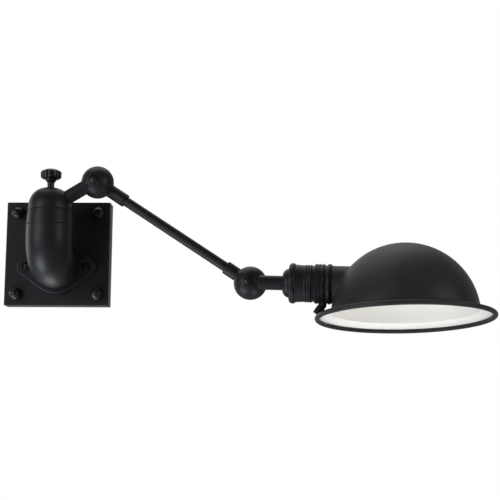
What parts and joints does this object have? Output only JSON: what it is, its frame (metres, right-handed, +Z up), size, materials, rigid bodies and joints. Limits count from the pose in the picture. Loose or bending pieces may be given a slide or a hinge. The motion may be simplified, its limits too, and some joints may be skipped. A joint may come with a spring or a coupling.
{
  "type": "articulating wall lamp",
  "caption": "Wall lamp with a square canopy, a swivelling elbow, ball knuckles joined by a straight tube, and a side-necked dome shade on a screw-shell socket.",
  "frame": {"origin": "centre of the canopy's back, on the wall's face", "axes": "+Z up; +Y into the wall, so the wall is the plane Y = 0; +X along the wall, to the side that the arm reaches at rest"},
  "size_m": [0.5189, 0.1963, 0.1727],
  "materials": {
    "satin_black": "satin",
    "shade_enamel": "satin",
    "black_hardware": "satin",
    "zinc_steel": "satin",
    "brass": "satin",
    "vulcanised_fibre": "matte",
    "porcelain": "gloss"
  },
  "bodies": {
    "wall_bracket": {"canopy": "satin_black", "mounting_plate": "zinc_steel", "mounting_studs": "zinc_steel", "canopy_nuts": "black_hardware", "elbow": "satin_black", "flange_screws": "black_hardware", "flange_nuts": "zinc_steel", "bearing_collar": "satin_black", "pivot_post": "zinc_steel", "post_nut": "zinc_steel"},
    "swivel": {"swivel_cap": "satin_black", "cap_grub_screw": "zinc_steel", "stop_pin": "zinc_steel", "upper_knuckle_front": "satin_black"},
    "arm": {"upper_knuckle_rear": "satin_black", "upper_pivot_screw": "black_hardware", "upper_friction_washer": "vulcanised_fibre", "upper_spring_washer": "zinc_steel", "upper_pivot_nut": "zinc_steel", "long_tube": "satin_black", "tube_jam_rings": "black_hardware", "lower_knuckle_rear": "satin_black", "lower_pivot_screw": "black_hardware", "lower_friction_washer": "vulcanised_fibre", "lower_spring_washer": "zinc_steel", "lower_pivot_nut": "zinc_steel"},
    "socket": {"lower_knuckle_front": "satin_black", "socket_nipple": "zinc_steel", "socket_cap": "satin_black", "socket_shell": "satin_black", "insulating_liner": "vulcanised_fibre", "lamp_body": "porcelain", "screw_shell": "brass", "centre_contact": "brass", "body_screws": "brass", "shade_holder": "satin_black"},
    "shade": {"shade": "shade_enamel", "shade_collar": "satin_black"},
    "thumb_screw": {"thumb_screw": "black_hardware"},
    "shade_screw": {"shade_screw": "black_hardware"}
  },
  "joints": [
    {"name": "swivel", "type": "hinge", "parent": "wall_bracket", "child": "swivel", "pos_m": [0, -0.0645, 0], "axis": [0, 0, -1], "range_deg": [-1.5, 169.5]},
    {"name": "upper_knuckle", "type": "hinge", "parent": "swivel", "child": "arm", "pos_m": [0.04958, -0.06167, 0.0703], "axis": [-0.1045, -0.9945, 0], "range_deg": [-26.4, 153.6]},
    {"name": "lower_knuckle", "type": "hinge", "parent": "arm", "child": "socket", "pos_m": [0.21393, -0.07894, -0.03949], "axis": [-0.1045, -0.9945, 0], "range_deg": [-121.6, 58.4]},
    {"name": "shade_turn", "type": "hinge", "parent": "socket", "child": "shade", "pos_m": [0.28004, -0.09393, -0.04184], "axis": [0.9939, -0.1045, -0.0349], "continuous": true},
    {"name": "thumb_screw_turn", "type": "hinge", "parent": "swivel", "child": "thumb_screw", "pos_m": [0, -0.0645, 0.0732], "axis": [0, 0, 1], "continuous": true},
    {"name": "shade_screw_turn", "type": "hinge", "parent": "socket", "child": "shade_screw", "pos_m": [0.28893, -0.09487, -0.06212], "axis": [-0.5561, 0.0585, -0.829], "continuous": true}
  ]
}
